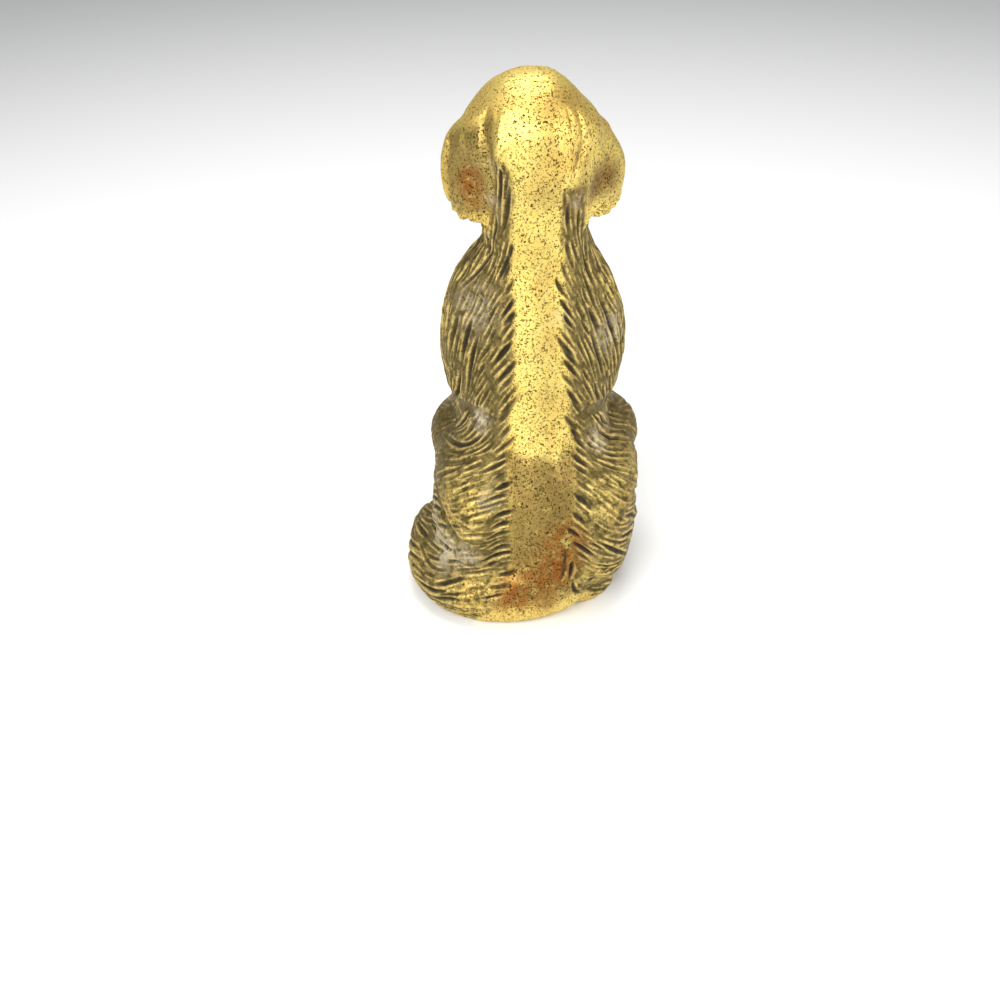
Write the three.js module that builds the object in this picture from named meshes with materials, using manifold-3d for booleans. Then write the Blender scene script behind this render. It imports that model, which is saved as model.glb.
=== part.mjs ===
// A brass dog that sits upright, cast in one piece, with its tail laid round its left side.
// Millimetres and +Z up. The dog faces +Y, and the origin is under the middle of its footprint.
import * as THREE from 'three';
import Module from 'manifold-3d';
import { mergeVertices } from 'three/addons/utils/BufferGeometryUtils.js';

const wasm = await Module();
wasm.setup();

// The whole figure is written as shares of its height: the numbers below are those of a dog
// with the drawn height, and every one of them grows with the real height.
const height = 174;
const drawnHeight = 174;
const grow = height / drawnHeight;

// Blended masses. A lump has a centre and three radii; a limb has rows of
// [x, y, z, half width, half depth]. A paired form is written for the dog's right side. melt is
// how far it melts into what came before it.
const torso = {
  across: [1, 0, 0], melt: 6,
  rows: [
    [0, -20, -4, 23, 27],
    [0, -19, 22, 25.5, 29],
    [0, -16, 42, 26.5, 28.5],
    [0, -11, 60, 25, 26],
    [0, -7, 78, 25, 25],
    [0, -4, 95, 23.5, 23.5],
    [0, -3, 110, 19.2, 20.5],
    [0, -3, 122, 16.3, 17.5],
    [0, -2, 140, 16, 16],
  ],
};
const chest = { at: [0, 9, 94], radii: [18, 18, 30], melt: 14 };
const belly = { at: [0, 5, 30], radii: [20, 18, 52], melt: 10 };
const arm = {
  across: [1, 0, 0], melt: 7,
  rows: [
    [14, 0, 109, 8, 11],
    [19.5, -1, 97, 10.3, 13.5],
    [22.5, 0, 84, 9.8, 14],
    [23, 5, 69, 8, 11.5],
    [22, 11, 53, 7.6, 9.5],
    [20.5, 18, 32, 7, 8.2],
    [18.5, 24, 9, 7, 7.6],
  ],
};
const forepaw = { at: [17.5, 33, 5], radii: [9.5, 14, 7.5], melt: 5 };
const thigh = { at: [20.2, -16, 30.5], radii: [16.2, 34, 31.5], pitch: 8, square: 2.15, melt: 7 };
const knee = { at: [26.3, 6, 44.5], radii: [11.5, 13, 12.5], melt: 6 };
const hindfoot = {
  across: [1, 0, 0], melt: 5,
  rows: [
    [24, -8, 7, 7, 8],
    [26.5, 8, 6, 7.5, 7],
    [28, 21, 5, 7, 5.5],
  ],
};
const tailRoot = {
  across: [1, 0, 0], melt: 6,
  rows: [
    [1, -35, 56, 8, 5],
    [2, -42, 38, 10, 7],
    [3, -46, 14, 10.5, 8],
  ],
};
const tail = {
  across: [0, 0, 1], melt: 5,
  rows: [
    [8, -45, 12, 11, 7.5],
    [-2, -46.5, 10, 12, 9],
    [-15, -45.8, 9, 12, 10],
    [-27.5, -39.8, 8, 10.5, 11.5],
    [-35.5, -27, 8, 10.5, 11],
    [-38, -13, 8, 10.5, 8],
    [-38, 0, 7, 8, 5.5],
  ],
};
const skull = { at: [0, 1, 151], radii: [20.5, 23, 23], square: 2.15, melt: 8 };
const earRoot = { at: [15, -1, 153.5], radii: [8.5, 9, 9], melt: 7 };
const muzzle = {
  across: [1, 0, 0], melt: 7, square: 2.4,
  rows: [
    [0, 12, 147, 13, 12],
    [0, 24, 145, 11.5, 11],
    [0, 35, 143.5, 10, 9.5],
  ],
};
const jaw = {
  across: [1, 0, 0], melt: 2,
  rows: [
    [0, 6, 137, 10, 8],
    [0, 20, 135.5, 8.5, 6],
    [0, 32, 134.5, 7, 4.8],
  ],
};
const brow = { at: [9.5, 14.5, 157], radii: [8, 8.5, 7], melt: 6 };
const cheek = { at: [12, 9, 143], radii: [9.5, 13, 12], melt: 6 };

// Crisp pieces of the same casting. cap is the share of the path over which each end rounds off.
const ear = {
  across: [0.76, 0.65, 0], sides: 14, rings: 12, cap: 0.3,
  rows: [
    [12.3, 0, 160, 7, 5],
    [17.3, -1.5, 154.5, 10, 5.5],
    [20, -2, 147, 11, 5],
    [20.2, -2.5, 138.5, 11, 4.8],
    [19.4, -2.5, 128.5, 9.5, 4.5],
  ],
};
const nose = { at: [0, 43.8, 146.6], radii: [6, 4.4, 4.4], sides: 10, rings: 6 };
const eye = { at: [9.6, 21.8, 152], radii: [3.8, 3.4, 3.4], sides: 10, rings: 6 };
const toeShape = { count: 4, sides: 6, rings: 4 };
const foretoes = { ...toeShape, at: [17.5, 35.5, 3.6], spread: 13, reach: 6.5, radii: [2.9, 7, 4.6] };
const hindtoes = { ...toeShape, at: [28, 18, 3.6], spread: 10.5, reach: 5.5, radii: [2.5, 6.5, 4.4] };

// Locks of hair, family by family. Roots lie in rows between the corners, which are the first and
// last root of the first row and, where there are more rows, of the last row. flow leads from a root
// to its tip, at the first row and at the last. size is length, half width and rise off the coat.
const locks = {
  neckSide: {
    corners: [[10, -17, 133], [18, 6, 128]],
    rows: 1, count: 3, flow: [[0.4, 0, -1], [0.45, 0.1, -1]], size: [26, 3.8, 1.1],
  },
  comb: {
    corners: [[9, -20, 121], [11.5, -42, 59]],
    rows: 1, count: 9, flow: [[0.75, -0.1, -0.8], [0.85, -0.1, -0.7]], size: [14, 2.7, 1.3],
  },
  rumpComb: {
    corners: [[12.5, -43, 51], [14.5, -49, 15]],
    rows: 1, count: 5, flow: [[1, 0.1, -0.4], [1, 0.1, -0.2]], size: [16, 3.2, 1.4],
  },
  shoulder: {
    corners: [[18, -16, 109], [29, 9, 104]],
    rows: 1, count: 4, flow: [[0.5, -0.1, -1], [0.1, -0.1, -1]], size: [29, 4.4, 1.3],
  },
  flank: {
    corners: [[18, -29, 86], [30, -9, 79]],
    rows: 1, count: 3, flow: [[0.4, 0.2, -1], [0.2, 0.4, -1]], size: [28, 4.4, 1.4],
  },
  haunch: {
    corners: [[25, -35, 58], [36, -3, 57], [34, -38, 33], [37, -12, 33]],
    rows: 2, count: 3, flow: [[0.5, 0.5, -0.8], [0.3, 0.8, -0.6]], size: [27, 4.8, 1.4],
  },
  frill: {
    corners: [[5, 24, 121], [14, 20, 119], [4, 28, 96], [13, 22, 94]],
    rows: 2, count: 2, flow: [[0.1, 0.1, -1], [0.05, -0.1, -1]], size: [28, 4.4, 1.4],
  },
};
const plume = {
  corners: [[0, -54, 19], [-40, -20, 15]],
  rows: 1, count: 5, flow: [[-1, -0.2, -0.2], [-0.3, 1, -0.15]], size: [26, 3.8, 1.6],
};
const lockSides = 3;
const lockRings = 3;
const lockBury = 1.3; // how far a lock's edges lie under the coat
const lockLean = 0.55; // under 1, a lock is widest near its root
const lockRounds = 4;

const headTurn = 5; // degrees, towards the dog's left

// The grid that the blended masses are cast on: its cell across, and its cells up the figure,
// each as [up to this height, cell].
const plainCell = 4.9;
const gridReach = 68; // how far the grid reaches to each side
const levels = [[12, 4.2], [120, 6.2], [174, 4.3]];
const sunk = 3; // how far the masses reach under the floor before they are cut flat
const pathSteps = 28;
const slopeStep = 0.4;
const settleRounds = 2;
const settleLimit = 1.2;
const farOut = 1000; // further off than any part of the figure
const crevice = 0.4; // how deep inside the filled corners of a crevice count

function point([x, y, z]) {
  return new THREE.Vector3(x, y, z).multiplyScalar(grow);
}

function mirrored(values, side) {
  return [values[0] * side, ...values.slice(1)];
}

// How far a point lies outside a shape with these radii, by its distance from the middle.
function outside(local, radii, square) {
  const parts = local.map((value, i) => Math.abs(value / radii[i]));
  const reach = parts.reduce((sum, part) => sum + part ** square, 0) ** (1 / square);
  const slope = Math.hypot(...local.map((value, i) => value / radii[i] ** 2));
  return slope > 1e-6 ? (reach * (reach - 1)) / slope : -Math.min(...radii);
}

function lumpField({ at, radii, pitch = 0, square = 2 }, side) {
  const centre = point(mirrored(at, side));
  const upright = new THREE.Quaternion().setFromAxisAngle(
    new THREE.Vector3(1, 0, 0),
    THREE.MathUtils.degToRad(-pitch),
  );
  const sizes = radii.map((radius) => radius * grow);
  const local = new THREE.Vector3();
  return (p) => {
    local.copy(p).sub(centre).applyQuaternion(upright);
    return outside([local.x, local.y, local.z], sizes, square);
  };
}

// The path, sizes and section axes of a limb, at a place from 0 to 1 along it.
function limbLine({ across, rows }, side) {
  const path = new THREE.CatmullRomCurve3(rows.map((row) => point(mirrored(row, side))));
  const sizes = new THREE.CatmullRomCurve3(rows.map((row) => point([row[3], row[4], 0])));
  const hint = new THREE.Vector3(...mirrored(across, side));
  return (t) => {
    const tangent = path.getTangent(t);
    const wide = hint.clone().addScaledVector(tangent, -hint.dot(tangent)).normalize();
    const deep = new THREE.Vector3().crossVectors(tangent, wide);
    return { place: path.getPoint(t), tangent, wide, deep, size: sizes.getPoint(t) };
  };
}

function limbField(form, side) {
  const line = limbLine(form, side);
  const stops = Array.from({ length: pathSteps + 1 }, (_, i) => line(i / pathSteps));
  const segment = new THREE.Line3();
  const foot = new THREE.Vector3();
  const off = new THREE.Vector3();
  return (p) => {
    let best = Infinity;
    let share = 0;
    let index = 0;
    for (let i = 0; i < pathSteps; i += 1) {
      segment.set(stops[i].place, stops[i + 1].place);
      const along = segment.closestPointToPointParameter(p, true);
      const gap = segment.at(along, foot).distanceToSquared(p);
      if (gap < best) {
        best = gap;
        share = along;
        index = i;
      }
    }
    const from = stops[index];
    const to = stops[index + 1];
    foot.lerpVectors(from.place, to.place, share);
    off.copy(p).sub(foot);
    const wide = THREE.MathUtils.lerp(from.size.x, to.size.x, share);
    const deep = THREE.MathUtils.lerp(from.size.y, to.size.y, share);
    const end = Math.min(wide, deep);
    const local = [off.dot(from.wide), off.dot(from.deep), off.dot(from.tangent)];
    return outside(local, [wide, deep, end], form.square ?? 2);
  };
}

// Two fields melted into one another over a distance.
function melted(a, b, distance) {
  const h = Math.max(distance - Math.abs(a - b), 0) / distance;
  return Math.min(a, b) - (h * h * distance) / 4;
}

function both(make, form) {
  return [-1, 1].map((side) => ({ field: make(form, side), melt: form.melt * grow }));
}

function single(make, form) {
  return { field: make(form, 1), melt: form.melt * grow };
}

// The head is made facing straight ahead, and its field is read at a point turned back to there.
function turned(masses) {
  const axis = new THREE.Vector3(0, 0, 1);
  const angle = THREE.MathUtils.degToRad(-headTurn);
  const p = new THREE.Vector3();
  return masses.map(({ field, melt }) => ({
    melt,
    field: (q) => field(p.copy(q).applyAxisAngle(axis, angle)),
  }));
}

const masses = [
  single(limbField, torso),
  single(lumpField, chest),
  single(lumpField, belly),
  ...both(limbField, arm),
  ...both(lumpField, forepaw),
  ...both(lumpField, thigh),
  ...both(lumpField, knee),
  ...both(limbField, hindfoot),
  single(limbField, tailRoot),
  single(limbField, tail),
  ...turned([
    single(lumpField, skull),
    ...both(lumpField, earRoot),
    ...both(lumpField, cheek),
    single(limbField, muzzle),
    single(limbField, jaw),
    ...both(lumpField, brow),
  ]),
];

function figureField(p) {
  const whole = masses.reduce((value, { field, melt }) => melted(value, field(p), melt), farOut);
  return Math.max(whole, -p.z - sunk * grow);
}

function evenLines(from, to, cell) {
  const count = Math.ceil((to - from) / cell);
  return Array.from({ length: count + 1 }, (_, i) => from + i * cell);
}

// Heights of the grid's levels, closer together at the feet and the head.
function levelLines(from) {
  const lines = [from];
  for (const [top, cell] of levels) {
    while (lines.at(-1) < top * grow) lines.push(lines.at(-1) + cell * grow);
  }
  lines.push(lines.at(-1) + plainCell * grow);
  return lines;
}

// Moves a point onto the figure's surface.
function settled(p, rounds, limit = 100) {
  for (let round = 0; round < rounds; round += 1) {
    const slope = slopeAt(p);
    slope.multiplyScalar(-figureField(p) / slope.lengthSq());
    p.add(slope.clampLength(0, limit * grow));
  }
  return p;
}

// Where inside and outside meet across the diagonals of a grid square, two skins would touch along
// an edge. Such a narrow crevice is filled, and the number of filled squares is given back.
function fillCrevices(values, [nx, ny, nz]) {
  const strides = [1, nx, nx * ny];
  let filled = 0;
  for (let at = 0; at < nx * ny * (nz - 1) - nx - 1; at += 1) {
    for (const [a, b] of [[0, 1], [1, 2], [0, 2]]) {
      const ring = [at, at + strides[a], at + strides[a] + strides[b], at + strides[b]];
      const [q, r, s, t] = ring.map((n) => values[n] < 0);
      if (q !== s || r !== t || q === r) continue;
      for (const n of ring) values[n] = Math.min(values[n], -crevice);
      filled += 1;
    }
  }
  return filled;
}

// Casts a field as a closed surface of four-sided faces, one corner for each cell that it crosses.
function castSurface(field, lines) {
  const counts = lines.map((line) => line.length);
  const [nx, ny, nz] = counts;
  const index = (i, j, k) => (k * ny + j) * nx + i;
  const values = new Float64Array(nx * ny * nz);
  const p = new THREE.Vector3();
  for (let k = 0; k < nz; k += 1) {
    for (let j = 0; j < ny; j += 1) {
      for (let i = 0; i < nx; i += 1) {
        values[index(i, j, k)] = field(p.set(lines[0][i], lines[1][j], lines[2][k]));
      }
    }
  }
  while (fillCrevices(values, counts) > 0);
  const places = [];
  const corner = new Int32Array(values.length).fill(-1);
  const cellCorner = (i, j, k) => {
    const at = index(i, j, k);
    if (corner[at] >= 0) return corner[at];
    const sum = new THREE.Vector3();
    let count = 0;
    for (let edge = 0; edge < 12; edge += 1) {
      const axis = edge >> 2;
      const a = [edge & 1, (edge >> 1) & 1];
      const start = [0, 0, 0];
      start[(axis + 1) % 3] = a[0];
      start[(axis + 2) % 3] = a[1];
      const end = [...start];
      end[axis] = 1;
      const from = values[index(i + start[0], j + start[1], k + start[2])];
      const to = values[index(i + end[0], j + end[1], k + end[2])];
      if (from < 0 === to < 0) continue;
      const share = from / (from - to);
      const where = [i, j, k].map((n, axisOf) => {
        const low = lines[axisOf][n + start[axisOf]];
        return low + share * (lines[axisOf][n + end[axisOf]] - low);
      });
      sum.add(p.set(...where));
      count += 1;
    }
    corner[at] = places.length;
    places.push(settled(sum.divideScalar(count), settleRounds, settleLimit));
    return corner[at];
  };
  const faces = [];
  const step = [[1, 0, 0], [0, 1, 0], [0, 0, 1]];
  for (let k = 1; k < nz - 1; k += 1) {
    for (let j = 1; j < ny - 1; j += 1) {
      for (let i = 1; i < nx - 1; i += 1) {
        const here = values[index(i, j, k)];
        step.forEach(([di, dj, dk], axis) => {
          const next = values[index(i + di, j + dj, k + dk)];
          if (here < 0 === next < 0) return;
          const b = step[(axis + 1) % 3];
          const c = step[(axis + 2) % 3];
          const ring = [[0, 0], [1, 0], [1, 1], [0, 1]].map(([m, n]) =>
            cellCorner(i - m * b[0] - n * c[0], j - m * b[1] - n * c[1], k - m * b[2] - n * c[2]),
          );
          if (here > 0) ring.reverse();
          const [q, r, s, t] = ring.map((n) => places[n]);
          if (q.distanceTo(s) < r.distanceTo(t)) {
            faces.push(ring[0], ring[1], ring[2], ring[0], ring[2], ring[3]);
          } else {
            faces.push(ring[1], ring[2], ring[3], ring[1], ring[3], ring[0]);
          }
        });
      }
    }
  }
  const geometry = new THREE.BufferGeometry().setFromPoints(places);
  geometry.setIndex(faces);
  return geometry;
}

// A closed geometry as a solid that can be joined and cut.
function solidOf(geometry) {
  geometry.deleteAttribute('normal');
  geometry.deleteAttribute('uv');
  const merged = mergeVertices(geometry, 1e-4);
  return new wasm.Manifold(
    new wasm.Mesh({
      numProp: 3,
      vertProperties: merged.attributes.position.array,
      triVerts: new Uint32Array(merged.index.array),
    }),
  );
}

function lump({ at, radii, sides, rings }, side = 1) {
  const geometry = new THREE.SphereGeometry(1, sides, rings);
  geometry.scale(...radii.map((radius) => radius * grow));
  const centre = point(mirrored(at, side));
  geometry.translate(centre.x, centre.y, centre.z);
  return solidOf(geometry);
}

// A sphere drawn out along a limb's path.
function drawn(form, side = 1) {
  const line = limbLine(form, side);
  const geometry = new THREE.SphereGeometry(1, form.sides, form.rings);
  const spot = geometry.attributes.position;
  const p = new THREE.Vector3();
  for (let i = 0; i < spot.count; i += 1) {
    p.fromBufferAttribute(spot, i);
    const t = Math.acos(THREE.MathUtils.clamp(p.y, -1, 1)) / Math.PI;
    const toEnd = Math.min(t, 1 - t, form.cap) / form.cap;
    const rounding = Math.sqrt(Math.max(0, 1 - (1 - toEnd) ** 2)) / (Math.hypot(p.x, p.z) || 1);
    const { place, wide, deep, size } = line(t);
    place.addScaledVector(wide, p.x * size.x * rounding);
    place.addScaledVector(deep, p.z * size.y * rounding);
    spot.setXYZ(i, place.x, place.y, place.z);
  }
  return solidOf(geometry);
}

// A row of toes along the front of a paw.
function toes({ count, at, spread, reach, ...toe }, side) {
  return Array.from({ length: count }, (_, i) => {
    const off = i / (count - 1) - 0.5;
    const forward = reach * (1 - 2 * off * off);
    return lump({ ...toe, at: [at[0] + off * spread, at[1] + forward, at[2]] }, side);
  });
}

// The field's slope, which stands square to the surface.
function slopeAt(p) {
  const slope = new THREE.Vector3();
  const probe = new THREE.Vector3();
  for (const axis of ['x', 'y', 'z']) {
    probe.copy(p);
    probe[axis] += slopeStep;
    const ahead = figureField(probe);
    probe[axis] -= 2 * slopeStep;
    slope[axis] = (ahead - figureField(probe)) / (2 * slopeStep);
  }
  return slope;
}

// A ridge of hair laid on the coat: broad near its root, and running out to a thin tip.
function lock(root, flow, [length, halfWidth, rise]) {
  const tip = root.clone().addScaledVector(flow, length);
  const stops = Array.from({ length: lockRings + 1 }, (_, i) =>
    settled(new THREE.Vector3().lerpVectors(root, tip, i / lockRings), lockRounds),
  );
  const geometry = new THREE.SphereGeometry(1, lockSides, lockRings);
  const spot = geometry.attributes.position;
  const p = new THREE.Vector3();
  for (let i = 0; i < spot.count; i += 1) {
    p.fromBufferAttribute(spot, i);
    const ring = Math.round((Math.acos(THREE.MathUtils.clamp(p.y, -1, 1)) / Math.PI) * lockRings);
    const share = ring / lockRings;
    const swell = Math.sin(Math.PI * share ** lockLean);
    const up = slopeAt(stops[ring]).normalize();
    const ahead = stops[Math.min(ring + 1, lockRings)].clone();
    ahead.sub(stops[Math.max(ring - 1, 0)]).normalize();
    const aside = new THREE.Vector3().crossVectors(up, ahead).normalize();
    const atEnd = ring === 0 || ring === lockRings;
    const onRidge = !atEnd && p.x < -Math.abs(p.z);
    const place = stops[ring].clone();
    if (!atEnd) place.addScaledVector(aside, Math.sign(p.z) * (onRidge ? 0 : halfWidth * swell * grow));
    place.addScaledVector(up, (onRidge ? rise * swell : -lockBury) * grow);
    spot.setXYZ(i, place.x, place.y, place.z);
  }
  return solidOf(geometry);
}

function lockFamily({ corners, rows, count, flow, size }, side = 1) {
  const [a, b, c = a, d = b] = corners.map((corner) => point(mirrored(corner, side)));
  const [firstFlow, lastFlow] = flow.map((way) => new THREE.Vector3(...mirrored(way, side)));
  const lengths = [size[0] * grow, size[1], size[2]];
  const made = [];
  for (let row = 0; row < rows; row += 1) {
    const down = rows > 1 ? row / (rows - 1) : 0;
    const left = a.clone().lerp(c, down);
    const right = b.clone().lerp(d, down);
    for (let i = 0; i < count; i += 1) {
      const along = (i + (row % 2) / 2) / Math.max(count - 0.5, 1);
      const share = rows > 1 ? down : along;
      const way = firstFlow.clone().lerp(lastFlow, share).normalize();
      made.push(lock(left.clone().lerp(right, along), way, lengths));
    }
  }
  return made;
}

function pair(make, form) {
  return [make(form, -1), make(form, 1)].flat();
}

function joined(solids) {
  return solids.reduce((whole, next) => whole.add(next));
}

function blendedBody() {
  const reach = gridReach * grow;
  const across = evenLines(-reach, reach, plainCell * grow);
  return solidOf(castSurface(figureField, [across, across, levelLines(-2 * plainCell * grow)]));
}

function headPieces() {
  return joined([lump(nose), ...pair(lump, eye), ...pair(drawn, ear)]).rotate([0, 0, headTurn]);
}

// Everything under the floor is cut away, so the figure stands on one flat face.
function cutFlat(solid) {
  const size = 4 * height;
  const below = new THREE.BoxGeometry(size, size, size);
  below.translate(0, 0, -size / 2);
  return solid.subtract(solidOf(below));
}

// The largest connected skin of a mesh. The small hollows that are left sealed between a lock
// and the coat are skins of their own, and dropping them fills them.
function outerSkin(triangles, cornerCount) {
  const owner = Int32Array.from({ length: cornerCount }, (_, i) => i);
  const find = (i) => {
    while (owner[i] !== i) {
      owner[i] = owner[owner[i]];
      i = owner[i];
    }
    return i;
  };
  for (let i = 0; i < triangles.length; i += 3) {
    owner[find(triangles[i + 1])] = find(triangles[i]);
    owner[find(triangles[i + 2])] = find(triangles[i]);
  }
  const sizes = new Map();
  for (const corner of triangles) sizes.set(find(corner), (sizes.get(find(corner)) ?? 0) + 1);
  const [largest] = [...sizes].sort((a, b) => b[1] - a[1])[0];
  return triangles.filter((_, i) => find(triangles[i - (i % 3)]) === largest);
}

function geometryOf(solid) {
  const { numProp, vertProperties, triVerts } = solid.getMesh();
  const places = new Float32Array((vertProperties.length / numProp) * 3);
  for (let i = 0; i < places.length / 3; i += 1) {
    places.set(vertProperties.subarray(i * numProp, i * numProp + 3), i * 3);
  }
  const geometry = new THREE.BufferGeometry();
  geometry.setAttribute('position', new THREE.BufferAttribute(places, 3));
  geometry.setIndex(new THREE.BufferAttribute(outerSkin(triVerts, places.length / 3), 1));
  return geometry;
}

const hair = Object.values(locks).flatMap((family) => pair(lockFamily, family));
const cast = joined([
  blendedBody(),
  headPieces(),
  ...pair(toes, foretoes),
  ...pair(toes, hindtoes),
  ...hair,
  ...lockFamily(plume),
]);
const figure = geometryOf(cutFlat(cast));
figure.computeVertexNormals();
figure.computeBoundingBox();
const middle = figure.boundingBox.getCenter(new THREE.Vector3());
figure.translate(-middle.x, -middle.y, 0);

const brass = new THREE.MeshStandardMaterial({ color: 0xb8963f, roughness: 0.42, metalness: 1 });
const dog = new THREE.Mesh(figure, brass);
dog.name = 'brass_dog';

const group = new THREE.Group();
group.add(dog);

export default group;
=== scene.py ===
# A sitting dog cast in brass: bright and pitted where it is worn, dark in its combed coat.
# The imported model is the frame, and the finished casting is grown from its one solid.
import math
import random

import bmesh
import bpy
import numpy as np
from mathutils import Matrix, Vector, noise
from mathutils.bvhtree import BVHTree
from mathutils.kdtree import KDTree


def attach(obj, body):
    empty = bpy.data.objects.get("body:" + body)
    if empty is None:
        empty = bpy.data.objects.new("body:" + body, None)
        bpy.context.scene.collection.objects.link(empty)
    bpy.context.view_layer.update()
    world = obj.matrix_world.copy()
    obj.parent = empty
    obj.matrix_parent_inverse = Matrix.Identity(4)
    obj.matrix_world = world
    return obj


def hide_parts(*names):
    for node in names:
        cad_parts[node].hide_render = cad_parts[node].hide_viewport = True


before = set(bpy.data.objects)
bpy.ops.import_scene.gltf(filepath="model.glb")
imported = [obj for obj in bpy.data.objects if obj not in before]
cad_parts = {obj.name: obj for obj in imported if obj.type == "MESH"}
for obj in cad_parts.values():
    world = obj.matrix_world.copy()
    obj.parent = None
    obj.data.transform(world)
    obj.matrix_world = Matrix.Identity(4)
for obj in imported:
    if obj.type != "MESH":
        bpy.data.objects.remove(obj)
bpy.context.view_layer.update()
random.seed(7)
mm = 0.001

# Places on the dog are in mm from its own middle line, as it was drawn. It faces +Y.
middleLine = (4.46, 3.75, 0.0)
headTurn = math.radians(5)  # towards the dog's left


def say(text):
    print("brass dog:", text)


def smoothstep(low, high, value):
    share = np.clip((value - low) / (high - low), 0.0, 1.0)
    return share * share * (3 - 2 * share)


def placed(point):
    return (Vector(point) + Vector(middleLine)) * mm


def placedOnHead(point):
    return placed(Matrix.Rotation(headTurn, 3, "Z") @ Vector(point))


# Casting: the solid is melted smooth, then crisp details are cast into it.
castStages = {
    "joinWithin": 0.001,
    "firstVoxel": 0.9,
    "floorBand": 0.4,
    "meltRounds": 14,
    "fullRounds": 30,
    "lumpFaces": (28, 18),
    "lastVoxel": 0.5,
    "blendRounds": 3,
    "normalRounds": 6,
    "lastSoftening": 0.2,
    "mostTriangles": 194000,
}

# Ellipsoids that are cast into the figure: centre, radii, forward pitch in degrees.
details = {
    "eye": {"at": (9.8, 25.0, 154.4), "radii": (3.4, 3.4, 3.0), "pitch": 0},
    "upperLid": {"at": (10.0, 24.4, 157.4), "radii": (5.0, 3.9, 1.4), "pitch": 22},
    "lowerLid": {"at": (10.0, 24.9, 151.5), "radii": (4.4, 3.5, 1.1), "pitch": -18},
    "nose": {"at": (1.4, 45.4, 147.4), "radii": (4.5, 4.1, 3.7), "pitch": 10},
    "flews": {"at": (5.8, 34.0, 141.2), "radii": (5.0, 10.8, 5.6), "pitch": 4},
    "whiskerPad": {"at": (4.5, 39.0, 143.2), "radii": (4.8, 6.2, 4.8), "pitch": 0},
}


def addLump(bm, centre, radii, pitch, turn):
    lumpMatrix = (
        Matrix.Translation(centre)
        @ Matrix.Rotation(turn, 4, "Z")
        @ Matrix.Rotation(math.radians(-pitch), 4, "X")
        @ Matrix.Diagonal((*[radius * mm for radius in radii], 1.0))
    )
    around, along = castStages["lumpFaces"]
    bmesh.ops.create_uvsphere(
        bm, u_segments=around, v_segments=along, radius=1.0, matrix=lumpMatrix
    )


def addDetails(bm):
    for detail in details.values():
        for side in (-1, 1):
            x, y, z = detail["at"]
            addLump(bm, placedOnHead((x * side, y, z)), detail["radii"], detail["pitch"], headTurn)


# Toes: a fan of knuckled lumps on each paw, with a blunt claw in front of each.
toeFan = {
    "front": {"at": (17.5, 37.0, 4.6), "spread": 13.2, "reach": 5.5, "radii": (2.6, 6.4, 4.3)},
    "hind": {"at": (28.0, 19.5, 4.0), "spread": 10.6, "reach": 4.5, "radii": (2.2, 5.8, 3.8)},
    "count": 4,
    "bow": 2,  # how far the outer toes lie back
    "fan": 0.35,
    "pitch": -12,
    "claw": (0.9, 1.9, 1.2),
    "clawPitch": -25,
    "clawOut": 5,
    "clawForward": 0.93,  # as shares of the toe's length and height
    "clawUp": 0.5,
}


def addToes(bm):
    for name in ("front", "hind"):
        paw = toeFan[name]
        for side in (-1, 1):
            for i in range(toeFan["count"]):
                off = i / (toeFan["count"] - 1) - 0.5
                x = (paw["at"][0] + off * paw["spread"]) * side
                y = paw["at"][1] + paw["reach"] * (0.5 - toeFan["bow"] * off * off)
                z = paw["at"][2]
                fan = -off * side * toeFan["fan"]
                addLump(bm, placed((x, y, z)), paw["radii"], toeFan["pitch"], fan)
                tip = (
                    x - math.sin(fan) * toeFan["clawOut"],
                    y + paw["radii"][1] * toeFan["clawForward"],
                    z * toeFan["clawUp"],
                )
                addLump(bm, placed(tip), toeFan["claw"], toeFan["clawPitch"], fan)


# A low ridge closes the base between the root of the tail and the right haunch.
baseRidge = {"at": (20.8, -35.6, 4.0), "radii": (5.2, 11.5, 6.0), "turn": -42}


def addBaseRidge(bm):
    addLump(bm, placed(baseRidge["at"]), baseRidge["radii"], 0, math.radians(baseRidge["turn"]))


# Ears: a flap drawn down along a path, thin at the rim. Rows are x, y, z, half width, half depth.
earFlap = {
    "rows": [
        (12.6, 0.0, 161.0, 6.5, 4.2),
        (17.2, -1.4, 155.5, 9.8, 4.8),
        (19.9, -2.0, 148.0, 11.2, 4.7),
        (20.4, -2.4, 140.0, 11.2, 4.3),
        (19.6, -2.5, 132.5, 9.2, 3.9),
        (19.0, -2.4, 129.2, 5.0, 2.6),
    ],
    "across": (0.76, 0.65),
    "slices": 34,
    "corners": 24,
}


def rowAt(rows, share):
    place = share * (len(rows) - 1)
    i = min(int(place), len(rows) - 2)
    before, low = rows[max(i - 1, 0)], rows[i]
    high, after = rows[i + 1], rows[min(i + 2, len(rows) - 1)]
    t = place - i
    mixed = []
    for a, b, c, d in zip(before, low, high, after):
        curve = 2 * a - 5 * b + 4 * c - d + t * (3 * (b - c) + d - a)
        mixed.append(b + 0.5 * t * (c - a + t * curve))
    return mixed


def addEars(bm):
    corners = earFlap["corners"]
    for side in (-1, 1):
        across = Vector((earFlap["across"][0] * side, earFlap["across"][1], 0))
        last = None
        for i in range(earFlap["slices"] + 1):
            x, y, z, wide, deep = rowAt(earFlap["rows"], i / earFlap["slices"])
            away = Vector((across.y * side, -across.x * side, 0))
            middle = Vector((x * side, y, z))
            ring = []
            for k in range(corners):
                angle = 2 * math.pi * k / corners * side
                out = across * (math.cos(angle) * wide) + away * (math.sin(angle) * deep)
                ring.append(bm.verts.new(placedOnHead(middle + out)))
            edges = [bm.edges.new((ring[k], ring[k - 1])) for k in range(corners)]
            if last:
                bmesh.ops.bridge_loops(bm, edges=last + edges)
            else:
                bmesh.ops.contextual_create(bm, geom=edges)
            last = edges
        bmesh.ops.contextual_create(bm, geom=last)


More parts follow.
